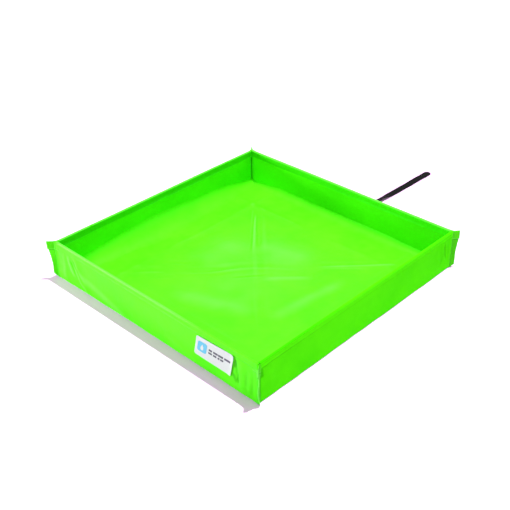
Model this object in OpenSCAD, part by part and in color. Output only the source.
// Folding spill tray. A square floor of coated fabric carries four walls, each a board
// sealed between two skins with a turned-over hem. The front and back walls fold in first,
// their soft corner gussets fold back over them, and the left and right walls fold on top.
// The origin is the middle of the floor's underside, +Z is up and the strap points along +X.

/* [Tray] */
// Length of each side over the hems
tray_w = 610; // [500:10:900]
// Height of the walls above the ground
wall_h = 92; // [88:1:140]
// Clearance between pieces that move past each other
gap = 0.3; // [0.2:0.1:0.5]

/* [Fabric] */
// Thickness of one layer of coated fabric
fabric_t = 0.8; // [0.6:0.1:1]

/* [Boards] */
// Thickness of the board sealed in each wall
board_t = 2.5; // [2:0.1:3]
// Space between a board and the edge of its pocket
board_margin = 3; // [2:0.5:6]

/* [Hem] */
// Depth of the hem on the outside of the walls
hem_out = 13.5; // [8:0.5:14]
// Depth of the hem on the inside of the walls
hem_in = 18; // [12:0.5:24]

/* [Corner seams] */
// Width of the welded flange that stands out at each corner
flange_w = 14; // [8:1:20]
// Height of the flange's foot above the ground
flange_foot = 3; // [2:1:10]

/* [Label] */
// Length of the label
label_w = 100; // [80:1:110]
// Height of the label
label_h = 50; // [40:1:52]
// Radius of the label's corners
label_r = 4; // [2:1:8]
// Thickness of the label
label_t = 0.4; // [0.3:0.1:0.4]
// Thickness of the print on the label
print_t = 0.2; // [0.1:0.1:0.3]
// Distance of the label from the middle of the left wall, towards the front
label_off = 192; // [0:1:194]
// Height of the label's middle above the ground
label_z = 52.5; // [48:0.5:54]
// Side of the square emblem
emblem_w = 26; // [16:1:30]

/* [Strap] */
// Width of the strap's webbing
strap_w = 19; // [15:1:25]
// Thickness of the strap's webbing
strap_t = 1.4; // [1:0.1:1.4]
// Length of the tab that the strap is sewn to
tab_l = 30; // [26:1:30]
// Width of the tab
tab_w = 34; // [26:1:60]
// Thickness of the hook and loop patches
patch_t = 0.6; // [0.4:0.1:0.6]
// Width of the hook and loop patches
patch_w = 16; // [12:1:17]

/* [Hidden] */
$fn = 48;

green = [0.25, 0.95, 0.10];
pale_green = [0.45, 1.00, 0.25];
board_grey = [0.30, 0.31, 0.33];
strap_black = [0.05, 0.05, 0.06];
label_white = [0.96, 0.97, 0.98];
print_blue = [0.35, 0.75, 0.90];
print_grey = [0.30, 0.35, 0.40];

half_w = tray_w / 2;
wall_t = board_t + 4 * fabric_t;
gusset_t = 4 * fabric_t;

// The front and back walls turn just above the floor sheet. The left and right walls turn
// above the stack of one folded wall and its folded gusset.
end_hinge_z = fabric_t + gap;
side_hinge_z = end_hinge_z + wall_t + gap + gusset_t + gap;

// Depths into a wall, from its outer face inward.
outer_skin_n = fabric_t;
board_n = 2 * fabric_t;
inner_skin_n = board_n + board_t;
inner_hem_n = inner_skin_n + fabric_t;

skin_top = wall_h - fabric_t;
board_top = skin_top - board_margin;

// The crease of each gusset starts here, along the wall, and rises at 45 degrees.
crease_x = half_w - wall_t - gap;
crease_gap = gap / 2 * sqrt(2);

// The strap's route along the ground: on its tab, down to the ground, and up onto the hook
// patch under its tip.
strap_route = [
    [309, -7, 1.5], [322, -7, 1.5], [335, -7, 1.5], [350, -7, 1], [365, -7, 0.7],
    [385, -8, 0.7], [410, -8, 0.7], [435, -8, 0.7], [460, -9, 0.7], [485, -9, 0.7],
    [510, -10, 0.7], [535, -10, 0.7], [560, -11, 0.8], [575, -11, 1.3], [600, -11, 1.3],
    [620, -12, 1.3], [640, -12, 1.3],
];
tip_steps = [0.4, 0.7, 0.9, 0.99];
strap_end = strap_route[len(strap_route) - 1];
strap_edge = 0.3;
loop_patch_x = 366;
loop_patch_l = 74;
hook_patch_x = 580;
hook_patch_l = 60;
stitch_w = 1;
stitch_t = 0.3;
stitch_box = [18, 14];
stitch_x = 313;

// Turns the front wall's frame (x along the wall, y from its outer face inward, z up) to
// the wall that lies that many degrees round the tray.
module on_wall(turn) {
    rotate([0, 0, turn])
        translate([0, -half_w, 0])
            children();
}

FRONT = 0;
RIGHT = 90;
BACK = 180;
LEFT = 270;

// A flat plate in a wall: its outline is along the wall and up, and it starts n deep.
module plate(outline, n, t) {
    translate([0, n + t, 0])
        rotate([90, 0, 0])
            linear_extrude(t)
                polygon(outline);
}

// The outline between two heights of a wall whose ends stand straight up.
function straight(low, high, in = 0) = [
    [in - half_w, low], [half_w - in, low], [half_w - in, high], [in - half_w, high],
];

// The outline between two heights of a wall whose ends follow the creases.
function creased(low, high, in = 0) =
    let (base = crease_x - crease_gap - in + end_hinge_z)
    [[low - base, low], [base - low, low], [base - high, high], [high - base, high]];

// The outline between two heights of the gusset at the wall's right-hand end.
function gusset_outline(low, high) =
    let (base = crease_x + crease_gap + end_hinge_z)
    [[base - low, low], [crease_x, low], [crease_x, high], [base - high, high]];

module hem(low_out, low_in, top) {
    plate(low_out, 0, fabric_t);
    plate(low_in, inner_hem_n, fabric_t);
    plate(top, 0, wall_t);
}

// Floor and webs

module floor_sheet() {
    color(green)
        translate([-half_w, -half_w, 0])
            cube([tray_w, tray_w, fabric_t]);
}

module web(turn) {
    color(green)
        on_wall(turn)
            plate(straight(fabric_t, side_hinge_z - gap, gap), outer_skin_n, 2 * fabric_t);
}

// Left and right walls

module side_skin(turn, n) {
    color(n == outer_skin_n ? pale_green : green)
        on_wall(turn)
            plate(straight(side_hinge_z, skin_top), n, fabric_t);
}

module side_board(turn) {
    color(board_grey)
        on_wall(turn)
            plate(straight(side_hinge_z + board_margin, board_top, wall_t + board_margin),
                  board_n, board_t);
}

module side_hem(turn) {
    color(green)
        on_wall(turn)
            hem(straight(wall_h - hem_out, wall_h),
                straight(wall_h - hem_in, wall_h),
                straight(skin_top, wall_h));
}

// A corner flange, on the end of a left or right wall. It stands out at 45 degrees, and its
// foot is cut away at 45 degrees. end is 1 at the wall's right-hand end and -1 at its left.
module seam(turn, end) {
    reach = flange_w / sqrt(2);
    root = 2 * fabric_t * sqrt(2);
    color(pale_green)
        on_wall(turn)
            mirror([end > 0 ? 0 : 1, 0, 0])
                translate([half_w, outer_skin_n, flange_foot])
                    difference() {
                        linear_extrude(wall_h - flange_foot)
                            polygon([[0, 0], [0, root], [reach, root - reach], [reach, -reach]]);
                        translate([reach, -reach, 0])
                            rotate([0, 0, -45])
                                rotate([0, 45, 0])
                                    cube(flange_w * sqrt(2), center = true);
                    }
}

// Front and back walls

module end_skin(turn, n) {
    color(n == outer_skin_n ? pale_green : green)
        on_wall(turn)
            plate(creased(end_hinge_z, skin_top), n, fabric_t);
}

module end_board(turn) {
    color(board_grey)
        on_wall(turn)
            plate(creased(end_hinge_z + board_margin, board_top, board_margin * sqrt(2)),
                  board_n, board_t);
}

module end_hem(turn) {
    color(green)
        on_wall(turn)
            hem(creased(wall_h - hem_out, wall_h),
                creased(wall_h - hem_in, wall_h),
                creased(skin_top, wall_h));
}

// A gusset: two layers of fabric with no board, and its own stretch of hem on both faces.
module gusset(turn, end) {
    color(pale_green)
        on_wall(turn)
            mirror([end > 0 ? 0 : 1, 0, 0]) {
                plate(gusset_outline(end_hinge_z + crease_gap, wall_h), fabric_t, 2 * fabric_t);
                plate(gusset_outline(wall_h - hem_out, wall_h), 0, fabric_t);
                plate(gusset_outline(wall_h - hem_in, wall_h), 3 * fabric_t, fabric_t);
            }
}

// Label, on the left wall's outer skin

module rounded_plate(size, r, t) {
    rotate([90, 0, 0])
        linear_extrude(t)
            for (x = [r, size.x - r], y = [r, size.y - r])
                translate([x - size.x / 2, y - size.y / 2])
                    circle(r);
    rotate([90, 0, 0])
        linear_extrude(t) {
            square([size.x, size.y - 2 * r], center = true);
            square([size.x - 2 * r, size.y], center = true);
        }
}

module on_label(x, z, t) {
    on_wall(LEFT)
        translate([label_off + x, outer_skin_n - t, label_z + z])
            children();
}

module label_base() {
    color(label_white)
        on_label(0, 0, 0)
            rounded_plate([label_w, label_h], label_r, label_t);
}

module label_emblem() {
    margin = (label_h - emblem_w) / 2;
    color(print_blue)
        on_label(margin + (emblem_w - label_w) / 2, 0, label_t)
            rounded_plate([emblem_w, emblem_w], label_r, print_t);
}

// Two rows of plain bars beside the emblem: [height above the middle, share of the width, height].
module label_bars() {
    left = (label_h + emblem_w - label_w) / 2 + label_r;
    right = label_w / 2 - 2 * label_r;
    color(print_grey)
        for (row = [[6, 1, 6], [-6, 0.7, 3.5]])
            on_label(left, row[0] - row[2] / 2, label_t + print_t)
                cube([(right - left) * row[1], print_t, row[2]]);
}

// Strap

module strap_tab() {
    color(green)
        translate([half_w, strap_route[0].y - tab_w / 2, 0])
            cube([tab_l, tab_w, fabric_t]);
}

// The flat strap: one ring of eight points at each point of the route, and a round tip.
function strap_ring(p, half) = [
    for (s = [[-half, -0.5], [strap_edge - half, -1], [half - strap_edge, -1], [half, -0.5],
              [half, 0.5], [half - strap_edge, 1], [strap_edge - half, 1], [-half, 0.5]])
    [p.x, p.y + s[0], p.z + s[1] * strap_t / 2],
];

module strap_webbing() {
    half = strap_w / 2;
    rings = [
        for (p = strap_route) strap_ring(p, half),
        for (k = tip_steps) strap_ring([strap_end.x + k * half, strap_end.y, strap_end.z],
                                       half * sqrt(1 - k * k)),
    ];
    n = len(rings);
    color(strap_black)
        polyhedron(
            points = [for (r = rings) each r],
            faces = [
                [for (k = [7:-1:0]) k],
                for (i = [0:n - 2], k = [0:7])
                    [8 * i + k, 8 * i + (k + 1) % 8, 8 * i + 8 + (k + 1) % 8, 8 * i + 8 + k],
                [for (k = [0:7]) 8 * n - 8 + k],
            ]
        );
}

// A sewn box with a cross in it, lying on the strap.
module strap_stitching() {
    top = strap_route[0].z + strap_t / 2;
    turn = atan2(stitch_box.y - stitch_w, stitch_box.x - stitch_w);
    long = norm(stitch_box) - 2 * stitch_w;
    color(print_grey)
        translate([stitch_x + stitch_box.x / 2, strap_route[0].y, top])
            linear_extrude(stitch_t) {
                difference() {
                    square(stitch_box, center = true);
                    square([stitch_box.x - 2 * stitch_w, stitch_box.y - 2 * stitch_w], center = true);
                }
                for (a = [turn, -turn])
                    rotate(a)
                        square([long, stitch_w], center = true);
            }
}

module strap_hook_patch() {
    color(strap_black)
        translate([hook_patch_x, strap_end.y - patch_w / 2, 0])
            cube([hook_patch_l, patch_w, patch_t]);
}

module strap_loop_patch() {
    color(strap_black)
        translate([loop_patch_x, strap_route[6].y - patch_w / 2, strap_t])
            cube([loop_patch_l, patch_w, patch_t]);
}

floor_sheet();
web(LEFT);  // left_web
web(RIGHT);  // right_web
side_skin(LEFT, outer_skin_n);  // left_outer_skin
side_skin(LEFT, inner_skin_n);  // left_inner_skin
side_board(LEFT);  // left_board
side_hem(LEFT);  // left_hem
side_skin(RIGHT, outer_skin_n);  // right_outer_skin
side_skin(RIGHT, inner_skin_n);  // right_inner_skin
side_board(RIGHT);  // right_board
side_hem(RIGHT);  // right_hem
end_skin(FRONT, outer_skin_n);  // front_outer_skin
end_skin(FRONT, inner_skin_n);  // front_inner_skin
end_board(FRONT);  // front_board
end_hem(FRONT);  // front_hem
end_skin(BACK, outer_skin_n);  // back_outer_skin
end_skin(BACK, inner_skin_n);  // back_inner_skin
end_board(BACK);  // back_board
end_hem(BACK);  // back_hem
seam(LEFT, 1);  // front_left_seam
seam(LEFT, -1);  // back_left_seam
seam(RIGHT, -1);  // front_right_seam
seam(RIGHT, 1);  // back_right_seam
gusset(FRONT, -1);  // front_left_gusset
gusset(FRONT, 1);  // front_right_gusset
gusset(BACK, 1);  // back_left_gusset
gusset(BACK, -1);  // back_right_gusset
label_base();
label_emblem();
label_bars();
strap_tab();
strap_webbing();
strap_stitching();
strap_hook_patch();
strap_loop_patch();
